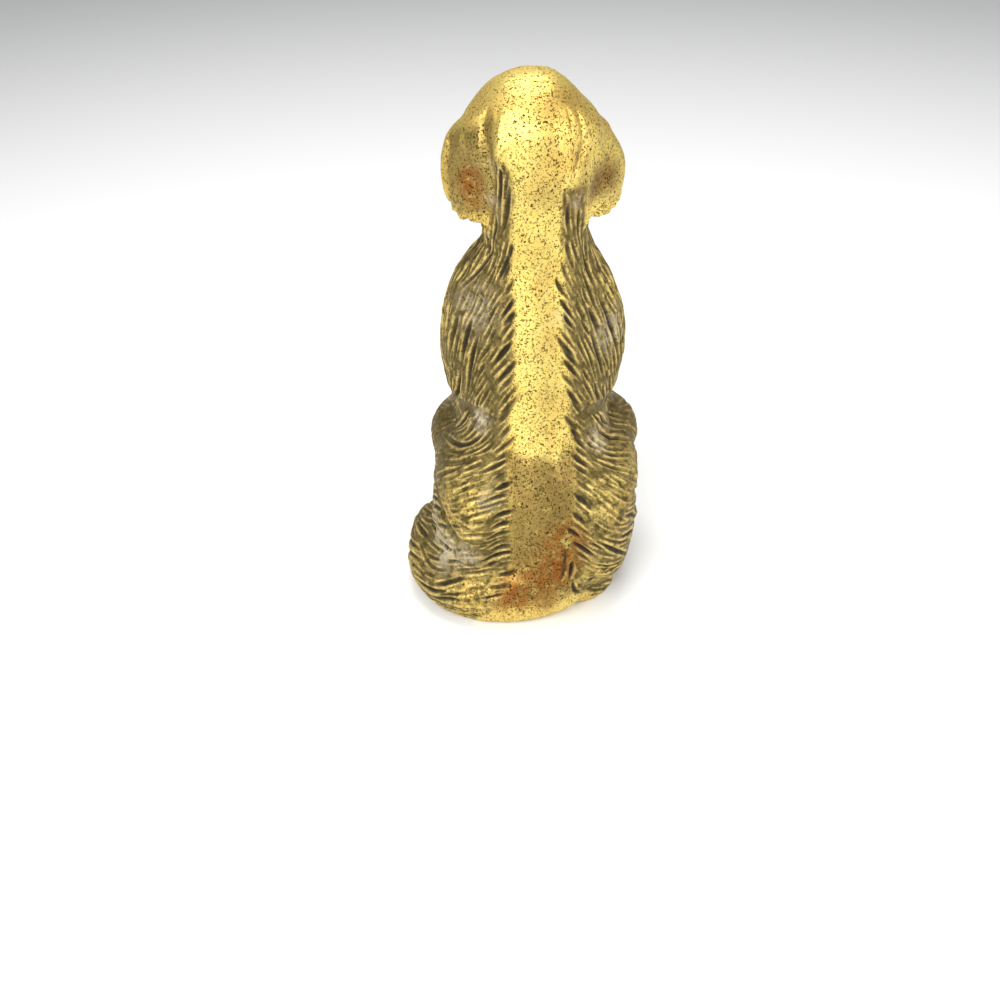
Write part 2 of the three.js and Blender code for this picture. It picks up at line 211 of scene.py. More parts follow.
def finished(holder):
    depsgraph = bpy.context.evaluated_depsgraph_get()
    return bpy.data.meshes.new_from_object(holder.evaluated_get(depsgraph))


def remeshed(mesh, name, voxel):
    holder = bpy.data.objects.new(name, mesh)
    bpy.context.scene.collection.objects.link(holder)
    remesh = holder.modifiers.new("voxels", "REMESH")
    remesh.mode = "VOXEL"
    remesh.voxel_size = voxel * mm
    result = finished(holder)
    bpy.data.objects.remove(holder)
    return result


def readPoints(mesh, what):
    flat = np.zeros(len(mesh.vertices) * 3, np.float32)
    mesh.vertices.foreach_get(what, flat)
    return flat.reshape(-1, 3).astype(float)


def places(mesh):
    return readPoints(mesh, "co")


def setPlaces(mesh, spots):
    mesh.vertices.foreach_set("co", spots.astype(np.float32).ravel())
    mesh.update()


def normalsOf(mesh):
    return readPoints(mesh, "normal")


def edgeEnds(mesh):
    ends = np.zeros(len(mesh.edges) * 2, np.int32)
    mesh.edges.foreach_get("vertices", ends)
    return ends.reshape(-1, 2)


def neighbourMean(values, ends):
    count = len(values)
    a, b = ends[:, 0], ends[:, 1]
    degree = np.bincount(a, minlength=count) + np.bincount(b, minlength=count)
    columns = []
    for column in values.reshape(count, -1).T:
        total = np.bincount(a, column[b], count) + np.bincount(b, column[a], count)
        columns.append(total / np.maximum(degree, 1))
    return np.stack(columns, 1).reshape(values.shape)


def soften(values, ends, rounds, share=0.5):
    for _ in range(rounds):
        values = values + share * (neighbourMean(values, ends) - values)
    return values


def meltedBody():
    bm = bmesh.new()
    bm.from_mesh(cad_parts["brass_dog"].data)
    bmesh.ops.remove_doubles(bm, verts=bm.verts, dist=castStages["joinWithin"] * mm)
    start = bpy.data.meshes.new("solid")
    bm.to_mesh(start)
    bm.free()
    body = remeshed(start, "melting", castStages["firstVoxel"])
    ends = edgeEnds(body)
    before = places(body)
    onFloor = before[:, 2] < castStages["floorBand"] * mm
    spots = soften(before, ends, castStages["meltRounds"])
    # Melting takes some width, which is given back.
    spots = spots + soften(before - spots, ends, castStages["fullRounds"])
    spots[onFloor, 2] = 0.0
    setPlaces(body, spots)
    return body


# Where the casting stands proud of the solid, in mm: a height, then the dog's left and right.
fuller = {
    "rows": [
        (0, 0, 0), (6, 0, 0.8), (13, 0.5, 0.6), (22, 0, 0.4), (34, 0, 0), (46, 0, 1.8),
        (52, -1.0, 0.8), (57, -2.6, -3.0), (61, -1.6, -2.2), (66, 0, 0), (96, 0, 0),
        (104, 1.2, 0.8), (110, 2.2, 1.7), (116, 1.2, 1.3), (122, -0.8, 1.5), (127, 0.4, 1.5),
        (131, -0.6, 1.5), (146, -0.6, 0.4), (154, 0.4, -1.4), (172, 0.6, -1.5),
    ],
    "from": (3, 15),
}


def filledOut(spots):
    across, height = spots[:, 0] / mm - middleLine[0], spots[:, 2] / mm
    heights, lefts, rights = zip(*fuller["rows"])
    left = np.interp(height, heights, lefts)
    right = np.interp(height, heights, rights)
    share = smoothstep(*fuller["from"], np.abs(across))
    spots[:, 0] += np.where(across < 0, -left, right) * share * mm
    return spots


def castBody():
    body = meltedBody()
    bm = bmesh.new()
    addDetails(bm)
    addToes(bm)
    addBaseRidge(bm)
    addEars(bm)
    bmesh.ops.recalc_face_normals(bm, faces=bm.faces)
    bm.from_mesh(body)
    joined = bpy.data.meshes.new("joined")
    bm.to_mesh(joined)
    bm.free()
    cast = remeshed(joined, "casting", castStages["lastVoxel"])
    spots = soften(places(cast), edgeEnds(cast), castStages["blendRounds"])
    spots[:, 2] = np.maximum(spots[:, 2], 0.0)
    setPlaces(cast, filledOut(spots))
    say(f"cast with {len(cast.vertices)} points")
    return cast


# The way the coat lies: a place and a direction for each tuft, on the dog's right, in mm.
coatFlow = {
    "neckBack": [(9, -19, 124), (0.35, -0.1, -1)],
    "neckSide": [(17, -4, 122), (0.25, -0.1, -1)],
    "neckFront": [(12, 14, 118), (0.1, 0.1, -1)],
    "withers": [(10, -22, 106), (0.6, -0.1, -0.85)],
    "shoulderTop": [(22, -6, 104), (0.5, -0.1, -1)],
    "shoulder": [(31, 0, 88), (0.1, -0.25, -1)],
    "shoulderBack": [(24, -16, 88), (0.35, 0.1, -1)],
    "backHigh": [(11, -27, 88), (0.65, 0, -0.8)],
    "backMiddle": [(11, -33, 72), (0.6, 0, -0.8)],
    "flank": [(24, -22, 70), (0.45, 0.2, -1)],
    "elbow": [(31, 4, 68), (-0.1, -0.6, -0.8)],
    "flankLow": [(26, -14, 60), (0.3, 0.5, -0.8)],
    "loin": [(12, -40, 58), (0.75, 0.05, -0.6)],
    "rumpHigh": [(16, -45, 46), (0.95, 0.15, -0.35)],
    "rump": [(20, -49, 32), (1, 0.2, -0.15)],
    "rumpLow": [(24, -47, 14), (0.8, 0.3, -0.6)],
    "haunchTop": [(30, -18, 58), (0.45, 0.75, -0.5)],
    "kneeTop": [(31, 6, 56), (0.3, 0.9, -0.4)],
    "haunchSide": [(38, -20, 40), (0.1, 0.85, -0.5)],
    "haunchMiddle": [(37.5, -8, 24), (0, 0.8, -0.6)],
    "haunchLow": [(36, -22, 10), (0, 0.6, -0.8)],
    "haunchCorner": [(33, -38, 30), (0.6, 0.7, -0.35)],
    "knee": [(33, 16, 42), (-0.2, 0.5, -0.9)],
    "shin": [(28, 14, 18), (0, 0.2, -1)],
    "chestTop": [(5, 24, 116), (0.15, 0.2, -1)],
    "chest": [(8, 28, 96), (0.2, 0, -1)],
    "chestLow": [(5, 24, 74), (-0.1, -0.15, -1)],
    "belly": [(3, 22, 40), (0, 0, -1)],
    "legFront": [(21, 24, 50), (0.1, 0.1, -1)],
    "legBack": [(24, 4, 48), (0.1, -0.45, -0.9)],
    "legLow": [(19, 31, 20), (0, 0.1, -1)],
    "crown": [(6, -4, 173), (0.4, -0.9, -0.2)],
    "nape": [(8, -21, 146), (0.2, -0.1, -1)],
    "cheek": [(18, 10, 142), (0.2, -0.6, -0.8)],
    "muzzle": [(8, 32, 146), (0.3, -0.9, -0.3)],
    "ear": [(26, -6, 144), (0.05, -0.1, -1)],
}
tailFlow = {
    "root": [(4, -54, 22), (-0.5, -0.1, -0.9)],
    "start": [(-4, -56, 10), (-1, -0.15, -0.35)],
    "hollow": [(-22, -45, 18), (-0.9, 0.3, -0.25)],
    "bend": [(-24, -52, 8), (-0.95, 0.4, -0.15)],
    "side": [(-41, -38, 8), (-0.6, 0.85, -0.1)],
    "sideTop": [(-36, -28, 17), (-0.5, 0.9, -0.1)],
    "front": [(-49, -18, 8), (-0.05, 1, -0.05)],
    "tip": [(-45, -2, 8), (0.25, 1, -0.1)],
}


# Where the coat lies otherwise on the dog's right.
rightWays = {
    "loin": (0.65, 0, -0.85),
    "rumpHigh": (0.75, 0.1, -0.8),
    "rump": (0.85, 0.15, -0.6),
    "rumpLow": (0.9, 0.2, -0.4),
}
tuftCore = 9.0  # square mm round a tuft where its pull stays even
tuftFall = 2.2  # how fast its pull falls off further out


def flowField(spots, normals):
    tufts = list(tailFlow.values())
    for name, ((x, y, z), (dx, dy, dz)) in coatFlow.items():
        tufts += [[(x, y, z), rightWays.get(name, (dx, dy, dz))], [(-x, y, z), (-dx, dy, dz)]]
    total = np.zeros_like(spots)
    for place, way in tufts:
        gap = ((spots - np.array(place)) ** 2).sum(1) + tuftCore
        total += np.array(way) / np.linalg.norm(way) / gap[:, None] ** tuftFall
    total -= normals * (total * normals).sum(1)[:, None]
    return total / (np.linalg.norm(total, axis=1)[:, None] + 1e-12)


# The worn strip along the spine: half widths and middles in mm at heights.
wornStrip = {
    "heights": [0, 7, 16, 30, 48, 62, 76, 90, 106, 120, 130, 140, 148, 153, 158],
    "halfWidths": [24, 17, 11.5, 10, 11, 11.5, 9.5, 8.4, 7.9, 8.4, 8.0, 7.6, 7.4, 10, 20],
    "middles": [0, 0, 1, 1.6, 1.6, 1.6, 1.5, 1.5, 1.2, 0.6, 0.7, 1.0, 1.2, 0.6, 0],
    "edge": 1.2,
    "wave": 1.3,
    "behind": (-16, -10),
}


def wavy(spots, scale, seed):
    return np.array([noise.noise(Vector(spot) / scale + Vector((seed, 0, 0))) for spot in spots])


def stripAt(height, what):
    return np.interp(height, wornStrip["heights"], wornStrip[what])


def stripMask(spots, waves):
    half = stripAt(spots[:, 2], "halfWidths") + wornStrip["wave"] * waves
    across = np.abs(spots[:, 0] - stripAt(spots[:, 2], "middles"))
    inside = 1 - smoothstep(half - wornStrip["edge"], half + wornStrip["edge"], across)
    behind = 1 - smoothstep(*wornStrip["behind"], spots[:, 1])
    return inside * behind


def onHead(spots):
    turn = np.array(Matrix.Rotation(-headTurn, 3, "Z"))
    return spots @ turn.T


# Where hair grows: each edge fades between two places, in mm across, along or up.
hairEdges = {
    "flapAcross": (13.5, 15.5), "flapUp": (127, 129), "napeAlong": (-14, -2), "neckUp": (140, 146),
    "cheekBack": (5, 11), "cheekFront": (20, 26), "cheekUp": (146, 152),
    "jawAlong": (19, 25), "jawUp": (124, 128), "pawAlong": (22, 30), "pawUp": (8, 13),
    "floorUp": (0.2, 1.5), "underside": (-0.98, -0.8),
}
hairLine = {"frontLower": 18, "leftHigher": 9, "cheeks": 0.4, "bareOnPaws": 0.85}


def coatMask(spots, normals, strip):
    def past(edge, value):
        return smoothstep(*hairEdges[edge], value)

    head = onHead(spots)
    x, y, z = np.abs(head[:, 0]), head[:, 1], head[:, 2]
    flaps = past("flapAcross", x) * past("flapUp", z)
    lower = hairLine["frontLower"] * past("napeAlong", y) - hairLine["leftHigher"] * (head[:, 0] < 0)
    neck = (1 - past("neckUp", z + lower)) * (1 - flaps)
    cheeks = past("cheekBack", y) * (1 - past("cheekFront", y)) * (1 - past("cheekUp", z))
    jaw = past("jawAlong", y) * past("jawUp", z)
    hair = np.maximum(neck * (1 - jaw), cheeks * hairLine["cheeks"] * (1 - flaps))
    paws = past("pawAlong", spots[:, 1]) * (1 - past("pawUp", spots[:, 2]))
    hair = hair * (1 - hairLine["bareOnPaws"] * paws) * (1 - strip)
    return hair * past("floorUp", spots[:, 2]) * past("underside", normals[:, 2])


# The shape of a cut: how wide its ends are, how far its widest place leans to its start,
# and how round its section is.
cutShape = {"ends": 0.25, "lean": 0.8, "round": 1.3}
markStep = 0.5
viewFrom = -90  # where the rays that find the dog's back start
backAt = -40  # where the back lies roughly


class Coat:
    def __init__(self, mesh, spots, normals, flow, mask):
        self.spots = [Vector(spot) for spot in spots]
        self.shell = BVHTree.FromPolygons(self.spots, [face.vertices[:] for face in mesh.polygons])
        self.normals = [Vector(normal) for normal in normals]
        self.flow = [Vector(way) for way in flow]
        self.mask = mask
        self.tree = KDTree(len(spots))
        for i, spot in enumerate(self.spots):
            self.tree.insert(spot, i)
        self.tree.balance()
        self.depth = np.zeros(len(spots))
        self.taken = {}

    def cell(self, p, gap):
        return (int(p.x // gap), int(p.y // gap), int(p.z // gap))

    def isFree(self, p, gap, own):
        cx, cy, cz = self.cell(p, gap)
        for dx in (-1, 0, 1):
            for dy in (-1, 0, 1):
                for dz in (-1, 0, 1):
                    for q, owner in self.taken.get((gap, cx + dx, cy + dy, cz + dz), ()):
                        if owner != own and (q - p).length_squared < gap * gap:
                            return False
        return True

    def claim(self, path, gaps, own):
        for p in path:
            for gap in gaps:
                self.taken.setdefault((gap, *self.cell(p, gap)), []).append((p, own))

    def follow(self, start, length, step, bend, least):
        path = []
        p = start.copy()
        swing = 0.0
        for _ in range(max(int(length / step), 2)):
            _, i, _ = self.tree.find(p)
            if self.mask[i] < least:
                break
            normal = self.normals[i]
            p = p - normal * (p - self.spots[i]).dot(normal)
            path.append(p.copy())
            swing += bend
            way = self.flow[i] + normal.cross(self.flow[i]) * swing
            p = p + way.normalized() * step
        return path

    def between(self, corners):
        path = []
        for a, b in zip(corners, corners[1:]):
            steps = max(int((Vector(b) - Vector(a)).length / markStep), 2)
            for k in range(steps):
                _, i, _ = self.tree.find(Vector(a).lerp(Vector(b), k / steps))
                path.append(self.spots[i])
        return path

    def carve(self, path, halfWidth, depth, taper):
        count = len(path)
        for k, p in enumerate(path):
            share = (k + 0.5) / count
            swell = math.sin(math.pi * share ** cutShape["lean"]) ** taper
            reach = halfWidth * (cutShape["ends"] + (1 - cutShape["ends"]) * swell)
            for _, i, gap in self.tree.find_range(p, reach):
                cut = depth * swell * max(1 - (gap / reach) ** 2, 0.0) ** cutShape["round"]
                if abs(cut) > abs(self.depth[i]):
                    self.depth[i] = cut

    def fromBehind(self, x, z):
        hit = self.shell.ray_cast(Vector((x, viewFrom, z)), Vector((0, 1, 0)))[0]
        return hit if hit else self.spots[self.tree.find((x, backAt, z))[1]]


# Grooves of the coat, coarse to fine, in mm.
grooves = {
    "locks": {
        "tries": 3000, "gap": 5.5, "length": (18, 36), "shortest": 9,
        "half": 1.3, "depth": 1.6, "least": 0.6,
    },
    "strands": {
        "tries": 20000, "gap": 2.1, "length": (10, 26), "shortest": 5,
        "half": 0.9, "depth": 1.0, "least": 0.3,
    },
    "hairs": {
        "tries": 30000, "gap": 1.3, "length": (5, 15), "shortest": 3,
        "half": 0.68, "depth": 0.45, "least": 0.2,
    },
}
grooveStep = 0.8
grooveBend = (-0.015, 0.015)
grooveDepths = (0.7, 1.1)
grooveTaper = 0.6
grooveMeet = 0.45  # a groove stops where another is nearer than this share of its gap

# Incised strokes along both edges of the worn strip.
comb = {
    "low": 16, "high": 128, "pitch": 4.2, "spacing": (0.6, 1.4), "rightShift": 2.2, "jitter": 1.4,
    "inset": (-1.0, 2.6), "length": (7, 14), "step": 0.7, "half": (0.9, 1.3), "depth": (1.0, 1.9),
    "taper": 0.9,
}


def claimFor(coat, path, kinds, own):
    gaps = [grooves[kind]["gap"] * share for kind in kinds for share in (1, grooveMeet)]
    coat.claim(path, gaps, own)


def carveComb(coat):
    own = 0
    for side in (-1, 1):
        z = comb["low"] + (comb["rightShift"] if side > 0 else 0)
        while z < comb["high"]:
            level = z + random.uniform(-1, 1) * comb["jitter"]
            half = stripAt(level, "halfWidths") - random.uniform(*comb["inset"])
            start = coat.fromBehind(stripAt(level, "middles") + half * side, level)
            path = coat.follow(start, random.uniform(*comb["length"]), comb["step"], 0.0, -1)
            half, depth = random.uniform(*comb["half"]), random.uniform(*comb["depth"])
            coat.carve(path, half, depth, comb["taper"])
            claimFor(coat, path, grooves, ("comb", own))
            own += 1
            z += comb["pitch"] * random.uniform(*comb["spacing"])


def carveGrooves(coat, name):
    kind = grooves[name]
    seeds = np.flatnonzero(coat.mask > kind["least"])
    finer = list(grooves)[list(grooves).index(name):]
    made = 0
    for own, seed in enumerate(random.choices(seeds.tolist(), k=kind["tries"])):
        start = coat.spots[seed]
        if not coat.isFree(start, kind["gap"], (name, own)):
            continue
        length = random.uniform(*kind["length"])
        path = coat.follow(start, length, grooveStep, random.uniform(*grooveBend), kind["least"])
        kept = []
        for p in path:
            if not coat.isFree(p, kind["gap"] * grooveMeet, (name, own)):
                break
            kept.append(p)
        if len(kept) * grooveStep < kind["shortest"]:
            continue
        made += 1
        depth = kind["depth"] * random.uniform(*grooveDepths)
        coat.carve(kept, kind["half"], depth, grooveTaper)
        claimFor(coat, kept, finer, (name, own))
    say(f"{made} {name} carved")


# Single tool marks on the back of the head, the haunches and the tail, in mm where they lie.
marks = {
    "leftEarCrease": {
        "points": [(-16, -11, 163), (-15, -14, 157), (-14, -16, 151), (-13, -17, 145), (-14, -15, 134)],
        "half": 2.6, "depth": 1.5,
    },
    "leftEarRidge": {
        "points": [(-9, -14, 166), (-10, -18, 157), (-10, -19, 147)],
        "half": 2.4, "depth": -0.9,
    },
    "leftTemple": {
        "points": [(-14, -10, 168), (-15, -11, 164), (-16, -11, 160)],
        "half": 1.0, "depth": 0.4,
    },
    "crownOne": {
        "points": [(10, -13, 167), (11, -15, 162), (11, -17, 158)],
        "half": 1.0, "depth": 0.5,
    },
    "crownTwo": {
        "points": [(14, -11, 166), (15, -13, 160), (14, -15, 155)],
        "half": 1.3, "depth": 0.6,
    },
    "rightCrease": {
        "points": [(16, -13, 157), (14, -16, 153), (11, -18, 148)],
        "half": 1.8, "depth": 0.9,
    },
    "rightEarHollow": {
        "points": [(9, -19, 145), (12, -18, 141), (15, -14, 137), (17, -12, 133)],
        "half": 1.6, "depth": 0.9,
    },
    "haunchFold": {
        "points": [(-38, -22, 44), (-36, -34, 40), (-30, -45, 34), (-23, -49, 30), (-12, -50, 28)],
        "half": 3.4, "depth": 1.9,
    },
    "haunchTop": {
        "points": [(14, -34, 71), (20, -28, 71), (27, -19, 68), (32, -8, 63), (33, 4, 60)],
        "half": 3.0, "depth": 1.3, "both": True,
    },
    "kneeFold": {
        "points": [(26, 15, 62), (27, 18, 52), (28, 19, 42), (28, 18, 30), (27, 10, 20)],
        "half": 3.0, "depth": 1.4, "both": True,
    },
    "legFold": {
        "points": [(12, 17, 70), (10, 18, 56), (9, 20, 40), (9, 21, 22), (9, 22, 8)],
        "half": 2.6, "depth": 2.0, "both": True,
    },
    "belly": {
        "points": [(0, 22, 54), (0, 22, 30), (0, 21, 3)],
        "half": 6.5, "depth": 1.3,
    },
    "haunchFoldTwo": {
        "points": [(-34, -38, 42), (-27, -45, 39), (-18, -47, 36)],
        "half": 1.6, "depth": 1.2,
    },
}
markTaper = 0.9


def carveMarks(coat):
    for mark in marks.values():
        for side in (1, -1) if mark.get("both") else (1,):
            path = coat.between([(x * side, y, z) for x, y, z in mark["points"]])
            coat.carve(path, mark["half"], mark["depth"], markTaper)


# Lines of the face, on the head before it is turned: points in mm, half width and depth.
faceLines = {
    "mouth": {
        "points": [(0, 43, 138.2), (5.5, 41, 138.6), (9.6, 31, 138.0), (12, 22, 138.5)],
        "half": 1.5, "depth": 1.6,
    },
    "lip": {
        "points": [(0, 48, 143.5), (0, 46, 141), (0, 44, 138.5)],
        "half": 0.9, "depth": 0.9,
    },
    "nostril": {
        "points": [(2.6, 49.5, 148.2), (3.8, 48.4, 147.6), (5.2, 46.8, 147.0)],
        "half": 1.2, "depth": 1.3,
    },
    "eyeCorner": {
        "points": [(7.0, 27.4, 153.6), (5.6, 27.8, 152.4), (4.6, 29, 151)],
        "half": 0.9, "depth": 0.8,
    },
    "stop": {
        "points": [(0, 21, 163), (0, 24, 158), (0, 29, 154)],
        "half": 2.4, "depth": 0.7,
    },
    "cheek": {
        "points": [(11, 24, 148), (14, 21, 144), (15, 20, 139)],
        "half": 2.4, "depth": 0.7,
    },
}
faceTaper = 0.3
eyeRim = {
    "turns": 24, "across": 3.8, "up": 2.7, "forward": 3,
    "half": 0.8, "depth": 0.8, "taper": 0.1,
}


def carveFace(coat):
    turn = Matrix.Rotation(headTurn, 3, "Z")
    ex, ey, ez = details["eye"]["at"]
    for side in (-1, 1):
        for line in faceLines.values():
            path = coat.between([turn @ Vector((x * side, y, z)) for x, y, z in line["points"]])
            coat.carve(path, line["half"], line["depth"], faceTaper)
        ring = []
        for k in range(eyeRim["turns"] + 1):
            angle = 2 * math.pi * k / eyeRim["turns"]
            across = ex + eyeRim["across"] * math.cos(angle)
            up = ez + eyeRim["up"] * math.sin(angle)
            ring.append(turn @ Vector((across * side, ey + eyeRim["forward"], up)))
        coat.carve(coat.between(ring), eyeRim["half"], eyeRim["depth"], eyeRim["taper"])


def storeValues(mesh, name, values):
    layer = mesh.attributes.new(name, "FLOAT", "POINT")
    layer.data.foreach_set("value", np.clip(values, 0, 1).astype(np.float32))


# Stains: where each lies in mm, how far it reaches and how strong it is.
stains = {
    "copper": [
        ((9, -49, 33), 7.5, 1.0), ((7, -51, 25), 8.5, 1.0), ((1, -53, 20), 7.5, 0.9),
        ((-8, -54, 14), 7.5, 0.9), ((2, -56, 11), 6, 0.6), ((-20, -9, 143), 5.5, 1.0),
        ((-20, -9, 139), 5, 0.8), ((20, -6, 143), 6, 0.35), ((5, -26, 96), 4, 0.25),
        ((4, -33, 80), 4, 0.35), ((9, -11, 168), 3, 0.3), ((3, -19, 145), 5, 0.25),
    ],
    "tarnishAndShade": [
        ((18, -8, 142), 6.5, 1.0), ((22, -4, 142.5), 6.5, 1.0), ((14, -15, 143), 5, 0.6),
        ((2, -19, 143), 6, 0.35), ((14, -16, 152), 4, 0.5), ((12, -18, 139), 4, 0.7),
        ((-2, -40, 64), 4, 0.4), ((22, 0, 136), 7, 0.3), ((-22, 0, 136), 7, 0.3),
        ((0, -14, 170), 7, 0.3),
    ],
    "rubbed": [
        ((-26, -42, 44), 11, 0.55), ((-20, -46, 56), 7, 0.5), ((-20, -54, 10), 12, 0.7),
        ((-44, -30, 8), 9, 0.5), ((25, -42, 44), 11, 0.4), ((34, -26, 50), 9, 0.5),
        ((20, -50, 16), 8, 0.5), ((9, -22, 118), 6, 0.5), ((28, -8, 108), 7, 0.4),
        ((-32, -4, 92), 6, 0.3),
    ],
    "dirt": [
        ((-14, -16, 150), 3, 0.4), ((-14, -15, 138), 4, 0.5), ((13, -16, 139), 3, 0.5),
        ((-19, -16, 104), 9, 0.5), ((26, -14, 94), 8, 0.6), ((-19, -27, 68), 5, 0.9),
        ((21, -28, 60), 5, 0.8), ((30, -18, 64), 6, 0.7), ((-33, -42, 25), 8, 1.0),
        ((-37, -32, 26), 6, 1.0), ((-25, -49, 27), 5, 0.8), ((-16, -45, 48), 4, 0.6),
        ((9, -26, 104), 4, 0.4), ((30, 10, 62), 8, 0.5), ((-30, 10, 62), 8, 0.5),
        ((0, 25, 60), 10, 0.6),
    ],
}
stainFade = (0.3, 1.5)  # a stain is full and gone at these shares of its reach


def storeStains(mesh, spots, dull):
    for name, patches in stains.items():
        total = dull if name == "tarnishAndShade" else np.zeros(len(spots))
        for place, reach, strength in patches:
            gap = np.linalg.norm(spots - np.array(place), axis=1)
            fade = smoothstep(reach * stainFade[0], reach * stainFade[1], gap)
            total = np.maximum(total, strength * (1 - fade))
        storeValues(mesh, name, total)


# The sunk back of the left ear: where it begins and ends, how deep it lies and how dull it is. The
# dullness is partly tarnish and partly painted shade where the ear's back faces backwards; its
# sideways-facing rim stays bright as a painted rim highlight.
earDishAndShade = {
    "out": (13, 15), "up": (130, 134), "top": (174, 176.5), "slope": 0.73,
    "facingBack": (-0.1, 0.1), "rim": (0.87, 0.955), "depth": 1.1, "dull": 0.75,
}


def leftEarDishAndShade(head, normals):
    top = head[:, 2] - earDishAndShade["slope"] * head[:, 0]
    inside = smoothstep(*earDishAndShade["out"], -head[:, 0]) * smoothstep(*earDishAndShade["up"], head[:, 2])
    inside *= 1 - smoothstep(*earDishAndShade["top"], top)
    # Left out at the sideways-facing rim: the dish stops there, and the colour stays bright as a
    # painted rim highlight.
    rim = 1 - smoothstep(*earDishAndShade["rim"], -normals[:, 0])
    return inside * smoothstep(*earDishAndShade["facingBack"], -normals[:, 1]) * rim


# Dark wax in the eyes and nose: how far it reaches in mm and how strong it is.
dark = {"eye": (3.6, 0.75), "nose": (5.2, 0.5)}
darkEdge = 0.8
darkForward = 1


def darkened(head):
    patina = np.zeros(len(head))
    for name, (reach, strength) in dark.items():
        x, y, z = details[name]["at"]
        for side in (-1, 1):
            gap = np.linalg.norm(head - np.array([x * side, y + darkForward, z]), axis=1)
            patina = np.maximum(patina, strength * (1 - smoothstep(reach - darkEdge, reach, gap)))
    return patina


# The coat is calmer on the haunches' tops, and the ears' tips are lumpy.
calmTops = {"out": (25, 33), "up": (36, 46), "end": (66, 74), "share": 0.6}
earTips = {"out": (14, 16), "end": (131, 137), "up": (126, 129)}
lumpy = {"fine": (0.16, 3.5, 9.0), "tips": (1.1, 2.2, 5.0)}  # height, size and seed
slowWaves = {"size": 6.0, "seed": 3.0}


def calmness(spots):
    out = smoothstep(*calmTops["out"], np.abs(spots[:, 0]))
    up = smoothstep(*calmTops["up"], spots[:, 2])
    return out * up * (1 - smoothstep(*calmTops["end"], spots[:, 2])) * calmTops["share"]


def lumpiness(spots, head):
    tips = smoothstep(*earTips["out"], np.abs(head[:, 0]))
    tips = tips * (1 - smoothstep(*earTips["end"], head[:, 2])) * smoothstep(*earTips["up"], head[:, 2])
    height, size, seed = lumpy["fine"]
    tipHeight, tipSize, tipSeed = lumpy["tips"]
    return height * wavy(spots, size, seed) + tipHeight * tips * wavy(spots, tipSize, tipSeed)


# How the bend of the surface is painted, and where the strip dulls, in mm up.
bendPaint = {"cut": 0.5, "folds": 0.6, "pinch": 2.5, "hollow": 2.5, "ridge": 6, "spread": 14}
dullStrip = {"share": 0.9, "waves": 4, "from": (7, 16), "to": (58, 66)}
wornMask = (0.0, 0.5)


def thinned(mesh):
    piece = bpy.data.objects.new("castDog", mesh)
    bpy.context.scene.collection.objects.link(piece)
    triangles = sum(len(face.vertices) - 2 for face in mesh.polygons)
    thinner = piece.modifiers.new("thinner", "DECIMATE")
    thinner.ratio = min(1.0, castStages["mostTriangles"] / triangles)
    thinner.use_collapse_triangulate = True
    final = finished(piece)
    piece.modifiers.clear()
    piece.data = final
    final.polygons.foreach_set("use_smooth", [True] * len(final.polygons))
    say(f"finished with {len(final.polygons)} faces")
    return piece


def carvedDog():
    mesh = castBody()
    ends = edgeEnds(mesh)
    smooth = places(mesh) / mm - np.array(middleLine)
    normals = soften(normalsOf(mesh), ends, castStages["normalRounds"])
    normals /= np.linalg.norm(normals, axis=1)[:, None] + 1e-12
    swells = wavy(smooth, slowWaves["size"], slowWaves["seed"])
    strip = stripMask(smooth, swells)
    mask = coatMask(smooth, normals, strip)
    coat = Coat(mesh, smooth, normals, flowField(smooth, normals), mask)
    say("coat laid out")
    carveMarks(coat)
    folds = soften(coat.depth, ends, 1)
    carveComb(coat)
    for name in grooves:
        carveGrooves(coat, name)
    carveFace(coat)
    depth = soften(coat.depth, ends, 1) * (1 - calmness(smooth))
    head = onHead(smooth)
    flap = leftEarDishAndShade(head, onHead(normals))
    sunk = depth - lumpiness(smooth, head) + earDishAndShade["depth"] * flap
    spots = soften(smooth - normals * sunk[:, None], ends, 1, castStages["lastSoftening"])
    spots[:, 2] = np.maximum(spots[:, 2], 0.0)
    setPlaces(mesh, (spots + np.array(middleLine)) * mm)

    bend = ((neighbourMean(spots, ends) - spots) * normals).sum(1)
    pinch = soften(bend, ends, 1)
    cuts = bendPaint["cut"] * (depth - bendPaint["folds"] * folds)
    furrow = cuts + bendPaint["pinch"] * np.maximum(pinch, 0)
    storeValues(mesh, "furrow", np.maximum(darkened(head), furrow))
    spread = soften(bend, ends, bendPaint["spread"])
    storeValues(mesh, "hollow", 0.5 + bendPaint["hollow"] * spread)
    storeValues(mesh, "ridge", 0.5 - bendPaint["ridge"] * pinch)
    storeValues(mesh, "worn", np.maximum(strip, 1 - smoothstep(*wornMask, mask)))
    z = smooth[:, 2] + dullStrip["waves"] * swells
    dull = smoothstep(*dullStrip["from"], z) * (1 - smoothstep(*dullStrip["to"], z))
    dull = dullStrip["share"] * strip * dull
    # The left ear's mask adds painted shade to the tarnish here.
    storeStains(mesh, smooth, np.maximum(dull, earDishAndShade["dull"] * flap))
    return thinned(mesh)


